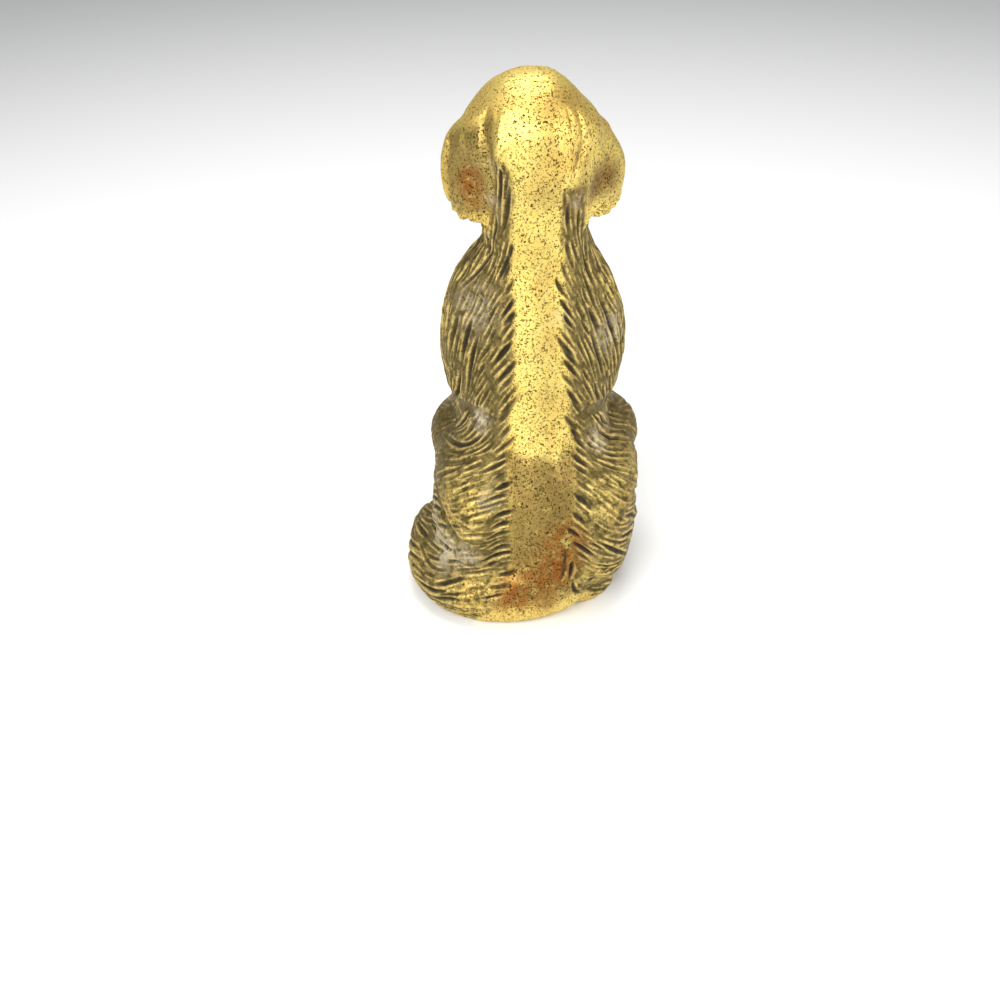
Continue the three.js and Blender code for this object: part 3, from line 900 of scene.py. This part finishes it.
# Brass: colours are linear. A pattern is its size in mm, detail, seed, roughness and twist. A fade
# is where a pattern or a painted value starts and ends. Shares are how much of each is mixed in.
brassLook = {
    "colours": {
        "polished": (0.86, 0.665, 0.19, 1), "warm": (0.75, 0.51, 0.13, 1),
        "olive": (0.115, 0.085, 0.028, 1), "oliveLight": (0.24, 0.18, 0.065, 1),
        "ridge": (0.68, 0.52, 0.19, 1), "groove": (0.012, 0.009, 0.004, 1),
        "dirt": (0.60, 0.52, 0.37, 1), "copper": (0.30, 0.105, 0.02, 1),
        "tarnishAndShade": (0.25, 0.165, 0.05, 1), "pit": (0.07, 0.05, 0.015, 1),
    },
    "patterns": {
        "clouds": (14, 3, 1.0, 0.55, 0.0), "mottle": (2.6, 4, 2.0, 0.65, 0.0),
        "grain": (0.45, 3, 3.0, 0.7, 0.0), "pits": (0.62, 2.5, 4.0, 0.6, 0.8),
        "clusters": (5, 2, 5.0, 0.55, 0.0), "dust": (2.2, 6, 6.0, 0.75, 0.0),
    },
    "fades": {
        "rubbed": (0.4, 0.58), "pits": (0.53, 0.6), "clusters": (0.2, 0.5),
        "olive": (0.35, 0.65), "ridge": (0.52, 0.85), "ridgeMottle": (0.25, 0.6),
        "warm": (0.4, 0.75), "tarnishAndShade": (0.1, 0.5), "copper": (0.3, 0.6),
        "dust": (0.4, 0.56), "hollow": (0.5, 0.8), "hollowMottle": (0.45, 0.7),
        "furrow": (0.2, 0.85), "furrowMottle": (0.05, 0.45),
    },
    "shares": {
        "coatPits": 0.35, "dirt": 0.75, "dirtInFurrow": 0.4, "furrow": 0.9, "pits": 0.9,
        "dullDirt": 0.85, "dullFurrow": 0.6,
        "rough": 0.4, "roughGrain": 0.2, "roughCoat": 0.12, "roughDull": 0.4,
        "height": 0.6, "grainHeight": 0.3, "pitDepth": 0.6, "bump": 0.7,
    },
    "bumpDistance": 0.35,
}


def brassMaterial():
    look, shares = brassLook["colours"], brassLook["shares"]
    material = bpy.data.materials.new("wornBrass")
    material.use_nodes = True
    tree = material.node_tree
    shader = tree.nodes["Principled BSDF"]
    spot = tree.nodes.new("ShaderNodeTexCoord").outputs["Object"]

    def feed(socket, value):
        if isinstance(value, bpy.types.NodeSocket):
            tree.links.new(value, socket)
        else:
            socket.default_value = value

    def painted(name):
        node = tree.nodes.new("ShaderNodeAttribute")
        node.attribute_name = name
        return node.outputs["Fac"]

    def maths(operation, a, b):
        node = tree.nodes.new("ShaderNodeMath")
        node.operation = operation
        node.use_clamp = True
        feed(node.inputs[0], a)
        feed(node.inputs[1], b)
        return node.outputs[0]

    def cloudy(name):
        size, detail, seed, rough, twist = brassLook["patterns"][name]
        node = tree.nodes.new("ShaderNodeTexNoise")
        node.noise_dimensions = "4D"
        feed(node.inputs["Vector"], spot)
        node.inputs["W"].default_value = seed
        node.inputs["Scale"].default_value = 1 / (size * mm)
        node.inputs["Detail"].default_value = detail
        node.inputs["Roughness"].default_value = rough
        node.inputs["Distortion"].default_value = twist
        return node.outputs["Fac"]

    def ranged(value, name):
        node = tree.nodes.new("ShaderNodeMapRange")
        node.interpolation_type = "SMOOTHSTEP"
        feed(node.inputs["Value"], value)
        low, high = brassLook["fades"][name]
        node.inputs["From Min"].default_value = low
        node.inputs["From Max"].default_value = high
        return node.outputs["Result"]

    def mixed(share, a, b):
        node = tree.nodes.new("ShaderNodeMix")
        node.data_type = "RGBA"
        feed(node.inputs[0], share)
        feed(node.inputs[6], a)
        feed(node.inputs[7], b)
        return node.outputs[2]

    def times(a, b):
        return maths("MULTIPLY", a, b)

    mottle = cloudy("mottle")
    rubbed = times(painted("rubbed"), ranged(mottle, "rubbed"))
    worn = maths("MAXIMUM", painted("worn"), rubbed)
    grain = cloudy("grain")
    clusters = times(worn, ranged(cloudy("clusters"), "clusters"))
    pits = times(ranged(cloudy("pits"), "pits"), maths("ADD", clusters, shares["coatPits"]))

    coat = mixed(ranged(mottle, "olive"), look["olive"], look["oliveLight"])
    shine = times(ranged(painted("ridge"), "ridge"), ranged(mottle, "ridgeMottle"))
    coat = mixed(shine, coat, look["ridge"])
    smooth = mixed(ranged(cloudy("clouds"), "warm"), look["polished"], look["warm"])
    colour = mixed(worn, coat, smooth)
    # Tarnish colour, which also carries the painted shade on the left ear's back.
    colour = mixed(times(painted("tarnishAndShade"), ranged(mottle, "tarnishAndShade")), colour, look["tarnishAndShade"])
    colour = mixed(times(painted("copper"), ranged(mottle, "copper")), colour, look["copper"])
    hollow = times(ranged(painted("hollow"), "hollow"), ranged(mottle, "hollowMottle"))
    dirt = maths("MAXIMUM", times(painted("dirt"), ranged(cloudy("dust"), "dust")), hollow)
    colour = mixed(times(dirt, shares["dirt"]), colour, look["dirt"])
    furrow = times(ranged(painted("furrow"), "furrow"), ranged(mottle, "furrowMottle"))
    furrow = times(furrow, maths("SUBTRACT", 1.0, times(dirt, shares["dirtInFurrow"])))
    colour = mixed(times(furrow, shares["furrow"]), colour, look["groove"])
    colour = mixed(times(pits, shares["pits"]), colour, look["pit"])
    tree.links.new(colour, shader.inputs["Base Color"])

    dull = maths("MAXIMUM", times(dirt, shares["dullDirt"]), times(furrow, shares["dullFurrow"]))
    tree.links.new(maths("SUBTRACT", 1.0, dull), shader.inputs["Metallic"])
    unworn = times(maths("SUBTRACT", 1.0, worn), shares["roughCoat"])
    rough = maths("ADD", times(grain, shares["roughGrain"]), unworn)
    rough = maths("ADD", rough, times(maths("MAXIMUM", dull, pits), shares["roughDull"]))
    tree.links.new(maths("ADD", rough, shares["rough"]), shader.inputs["Roughness"])

    level = maths("ADD", times(grain, shares["grainHeight"]), shares["height"])
    height = maths("SUBTRACT", level, times(pits, shares["pitDepth"]))
    bump = tree.nodes.new("ShaderNodeBump")
    bump.inputs["Strength"].default_value = shares["bump"]
    bump.inputs["Distance"].default_value = brassLook["bumpDistance"] * mm
    tree.links.new(height, bump.inputs["Height"])
    tree.links.new(bump.outputs["Normal"], shader.inputs["Normal"])
    return material


dog = carvedDog()
dog.data.materials.clear()
dog.data.materials.append(brassMaterial())
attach(dog, "root")
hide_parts("brass_dog")

# Stage: a plain pale floor, wide and soft lamps, and a camera that looks down from behind.
stageLook = {
    "floorSize": 6.0, "floorColour": (0.78, 0.78, 0.77, 1), "floorRoughness": 0.6,
    "world": (0.55, 0.56, 0.58), "worldStrength": 0.46, "lampAim": (0, 0, 0.08),
}
lamps = {
    "key": {"at": (-0.38, -0.62, 0.7), "size": 0.9, "watts": 13.0},
    "fill": {"at": (0.7, -0.3, 0.45), "size": 0.6, "watts": 4.5},
    "top": {"at": (0.0, 0.25, 0.9), "size": 0.5, "watts": 6.0},
}


def addFloor():
    bm = bmesh.new()
    bmesh.ops.create_grid(bm, x_segments=1, y_segments=1, size=stageLook["floorSize"] / 2)
    mesh = bpy.data.meshes.new("floor")
    bm.to_mesh(mesh)
    bm.free()
    floor = bpy.data.objects.new("floor", mesh)
    bpy.context.scene.collection.objects.link(floor)
    paint = bpy.data.materials.new("paleFloor")
    paint.use_nodes = True
    shader = paint.node_tree.nodes["Principled BSDF"]
    shader.inputs["Base Color"].default_value = stageLook["floorColour"]
    shader.inputs["Roughness"].default_value = stageLook["floorRoughness"]
    mesh.materials.append(paint)


def addLamps():
    for name, lamp in lamps.items():
        light = bpy.data.lights.new(name, "AREA")
        light.energy = lamp["watts"]
        light.size = lamp["size"]
        holder = bpy.data.objects.new(name, light)
        holder.location = lamp["at"]
        aim = Vector(stageLook["lampAim"]) - Vector(lamp["at"])
        holder.rotation_euler = aim.to_track_quat("-Z", "Y").to_euler()
        bpy.context.scene.collection.objects.link(holder)
    world = bpy.data.worlds.new("studio")
    world.use_nodes = True
    background = world.node_tree.nodes["Background"]
    background.inputs["Color"].default_value = (*stageLook["world"], 1)
    background.inputs["Strength"].default_value = stageLook["worldStrength"]
    bpy.context.scene.world = world
    bpy.context.scene.view_settings.view_transform = "Standard"


# Camera: where it stands in mm from the figure's origin, and how it is turned, in degrees.
cameraView = {
    "at": (-7.8, -338.9, 267.2), "lens": 40.0, "sensor": 36.0, "nearest": 10,
    "down": 36.37, "roll": -1.08,
}


def addCamera():
    down = math.radians(cameraView["down"])
    roll = math.radians(cameraView["roll"])
    forward = Vector((0, math.cos(down), -math.sin(down)))
    level = Vector((1, 0, 0))
    upright = level.cross(forward)
    right = level * math.cos(roll) + upright * math.sin(roll)
    up = upright * math.cos(roll) - level * math.sin(roll)
    lens = bpy.data.cameras.new("camera")
    lens.lens = cameraView["lens"]
    lens.sensor_width = cameraView["sensor"]
    lens.sensor_fit = "HORIZONTAL"
    lens.clip_start = cameraView["nearest"] * mm
    holder = bpy.data.objects.new("camera", lens)
    turn = Matrix((right, up, -forward)).transposed().to_4x4()
    holder.matrix_world = Matrix.Translation(Vector(cameraView["at"]) * mm) @ turn
    bpy.context.scene.collection.objects.link(holder)
    bpy.context.scene.camera = holder


addFloor()
addLamps()
addCamera()
